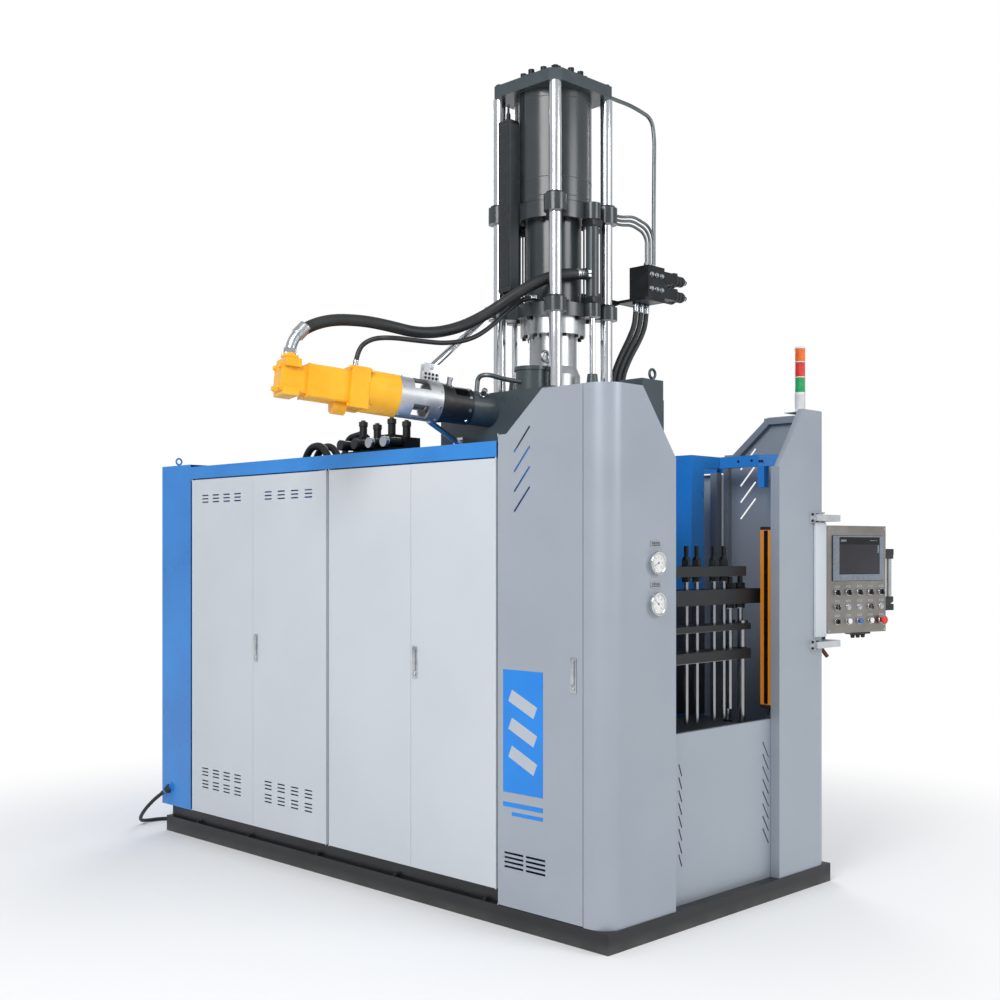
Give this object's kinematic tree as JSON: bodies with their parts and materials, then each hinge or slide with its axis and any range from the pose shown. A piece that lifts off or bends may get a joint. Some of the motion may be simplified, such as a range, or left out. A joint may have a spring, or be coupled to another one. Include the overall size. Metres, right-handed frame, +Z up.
{
  "type": "vertical rubber injection molding machine",
  "caption": "Upright rubber moulding press with enclosed cabinet, clamp table, injection column, side-mounted extruder and swinging operator panel.",
  "frame": {"origin": "centre of the base footprint on the floor, the middle of the four anchor holes", "axes": "+Z up; -Y towards the operator; -X towards the long side with the doors"},
  "size_m": [2.746, 3.7014, 3.848],
  "materials": {
    "black_enamel": "satin black enamel",
    "blue_enamel": "gloss blue enamel",
    "light_grey_powder": "fine textured light grey powder coat",
    "mid_grey_powder": "fine textured mid grey powder coat",
    "frame_grey": "dark grey paint",
    "dark_green_grey": "dark green-grey machine enamel",
    "yellow_enamel": "gloss yellow enamel",
    "orange_enamel": "orange enamel",
    "chromed_steel": "hard chromed and ground",
    "machined_steel": "turned and ground steel",
    "blackened_steel": "blackened steel",
    "stainless": "brushed stainless sheet",
    "cast_aluminium": "cast aluminium",
    "black_rubber": "smooth hydraulic hose cover",
    "cable_rubber": "rubber cable sheath",
    "lamp_plastic": "coloured moulded lens",
    "black_plastic": "moulded plastic",
    "gauge_steel": "bright gauge case",
    "white_plastic": "moulded plastic",
    "blue_plastic": "moulded plastic",
    "red_plastic": "moulded plastic",
    "red_plug": "moulded plastic"
  },
  "bodies": {
    "machine_frame": {"base_frame": "black_enamel", "press_frame": "blue_enamel", "inner_frames": "frame_grey", "top_rails": "blue_enamel", "rear_shell": "blue_enamel", "right_side_panels": "light_grey_powder", "left_cover": "mid_grey_powder", "right_cover": "mid_grey_powder", "lower_front_panel": "mid_grey_powder", "ejector_guides": "blackened_steel", "light_curtains": "orange_enamel", "stack_light": "lamp_plastic", "pressure_gauges": "gauge_steel", "panel_brackets": "cast_aluminium", "power_pack": "dark_green_grey", "valve_stand": "blackened_steel", "clamp_cylinder": "dark_green_grey", "lift_rods": "chromed_steel", "upper_platen": "machined_steel", "power_cable": "cable_rubber", "cable_coil": "cable_rubber", "mains_plug": "red_plug"},
    "injection_unit": {"unit_block": "dark_green_grey", "tie_rods": "chromed_steel", "top_plate": "blackened_steel", "injection_cylinder": "dark_green_grey", "guide_housing": "dark_green_grey", "injection_barrel": "machined_steel", "lift_cylinders": "dark_green_grey", "transducer_box": "blackened_steel", "valve_manifold": "blackened_steel", "feed_housing": "blackened_steel", "coupling_lantern": "machined_steel", "gearbox": "yellow_enamel", "drive_motor": "yellow_enamel", "support_struts": "chromed_steel", "hydraulic_hoses": "black_rubber", "steel_pipes": "machined_steel"},
    "plunger": {"injection_plunger": "chromed_steel"},
    "screw": {"extruder_screw": "machined_steel"},
    "clamp_table": {"lower_platen": "machined_steel"},
    "upper_ejector": {"ejector_upper": "blackened_steel"},
    "lower_ejector": {"ejector_lower": "blackened_steel"},
    "cover_door": {"left_cover_door": "mid_grey_powder"},
    "operator_panel": {"panel_box": "stainless", "hmi_terminal": "black_plastic", "panel_grip": "cast_aluminium"},
    "stop_button": {"emergency_stop": "red_plastic"},
    "door_1": {"cabinet_door_1": "light_grey_powder"},
    "door_2": {"cabinet_door_2": "light_grey_powder"},
    "door_3": {"cabinet_door_3": "light_grey_powder"},
    "door_4": {"cabinet_door_4": "light_grey_powder"},
    "selector_knob_1": {"selector_1": "black_plastic"},
    "selector_knob_2": {"selector_2": "black_plastic"},
    "selector_knob_3": {"selector_3": "black_plastic"},
    "selector_knob_4": {"selector_4": "black_plastic"},
    "selector_knob_5": {"selector_5": "black_plastic"},
    "button_1": {"push_button_1": "white_plastic"},
    "button_2": {"push_button_2": "blue_plastic"},
    "button_3": {"push_button_3": "white_plastic"}
  },
  "joints": [
    {"name": "unit_lift", "type": "slide", "parent": "machine_frame", "child": "injection_unit", "axis": [0, 0, 1], "range_m": [0, 0.12]},
    {"name": "plunger_stroke", "type": "slide", "parent": "injection_unit", "child": "plunger", "axis": [0, 0, -1], "range_m": [0, 0.22]},
    {"name": "screw_turn", "type": "hinge", "parent": "injection_unit", "child": "screw", "pos_m": [-0.4, -0.525, 2.212], "axis": [-0.9354, 0.3404, 0.0958], "continuous": true},
    {"name": "clamp_stroke", "type": "slide", "parent": "machine_frame", "child": "clamp_table", "axis": [0, 0, 1], "range_m": [0, 0.28]},
    {"name": "upper_ejector_stroke", "type": "slide", "parent": "machine_frame", "child": "upper_ejector", "axis": [0, 0, 1], "range_m": [0, 0.15]},
    {"name": "lower_ejector_stroke", "type": "slide", "parent": "machine_frame", "child": "lower_ejector", "axis": [0, 0, -1], "range_m": [0, 0.055]},
    {"name": "cover_door_hinge", "type": "hinge", "parent": "machine_frame", "child": "cover_door", "pos_m": [-0.812, -1.01, 1.1], "axis": [0, 0, -1], "range_deg": [0, 85]},
    {"name": "panel_swing", "type": "hinge", "parent": "machine_frame", "child": "operator_panel", "pos_m": [0.848, -1.535, 1.42], "axis": [0, 0, 1], "range_deg": [-75, 38]},
    {"name": "door_1_hinge", "type": "hinge", "parent": "machine_frame", "child": "door_1", "pos_m": [-0.812, 1.346, 1.05], "axis": [0, 0, -1], "range_deg": [0, 85]},
    {"name": "door_2_hinge", "type": "hinge", "parent": "machine_frame", "child": "door_2", "pos_m": [-0.812, 0.157, 1.05], "axis": [0, 0, 1], "range_deg": [0, 85]},
    {"name": "door_3_hinge", "type": "hinge", "parent": "machine_frame", "child": "door_3", "pos_m": [-0.812, 0.133, 1.05], "axis": [0, 0, -1], "range_deg": [0, 85]},
    {"name": "door_4_hinge", "type": "hinge", "parent": "machine_frame", "child": "door_4", "pos_m": [-0.812, -0.997, 1.05], "axis": [0, 0, 1], "range_deg": [0, 85]},
    {"name": "selector_1_turn", "type": "hinge", "parent": "operator_panel", "child": "selector_knob_1", "pos_m": [0.9386, -1.57157, 1.357], "axis": [-0.193, -0.9812, 0], "range_deg": [-45, 45]},
    {"name": "selector_2_turn", "type": "hinge", "parent": "operator_panel", "child": "selector_knob_2", "pos_m": [1.0167, -1.58694, 1.357], "axis": [-0.193, -0.9812, 0], "range_deg": [-45, 45]},
    {"name": "selector_3_turn", "type": "hinge", "parent": "operator_panel", "child": "selector_knob_3", "pos_m": [1.0948, -1.6023, 1.357], "axis": [-0.193, -0.9812, 0], "range_deg": [-45, 45]},
    {"name": "selector_4_turn", "type": "hinge", "parent": "operator_panel", "child": "selector_knob_4", "pos_m": [1.17291, -1.61767, 1.357], "axis": [-0.193, -0.9812, 0], "range_deg": [-45, 45]},
    {"name": "selector_5_turn", "type": "hinge", "parent": "operator_panel", "child": "selector_knob_5", "pos_m": [1.25101, -1.63304, 1.357], "axis": [-0.193, -0.9812, 0], "range_deg": [-45, 45]},
    {"name": "button_1_press", "type": "slide", "parent": "operator_panel", "child": "button_1", "axis": [0.193, 0.9812, 0], "range_m": [0, 0.004], "stiffness_N_per_m": 800},
    {"name": "button_2_press", "type": "slide", "parent": "operator_panel", "child": "button_2", "axis": [0.193, 0.9812, 0], "range_m": [0, 0.004], "stiffness_N_per_m": 800},
    {"name": "button_3_press", "type": "slide", "parent": "operator_panel", "child": "button_3", "axis": [0.193, 0.9812, 0], "range_m": [0, 0.004], "stiffness_N_per_m": 800},
    {"name": "stop_press", "type": "slide", "parent": "operator_panel", "child": "stop_button", "axis": [0.193, 0.9812, 0], "range_m": [0, 0.005]}
  ]
}
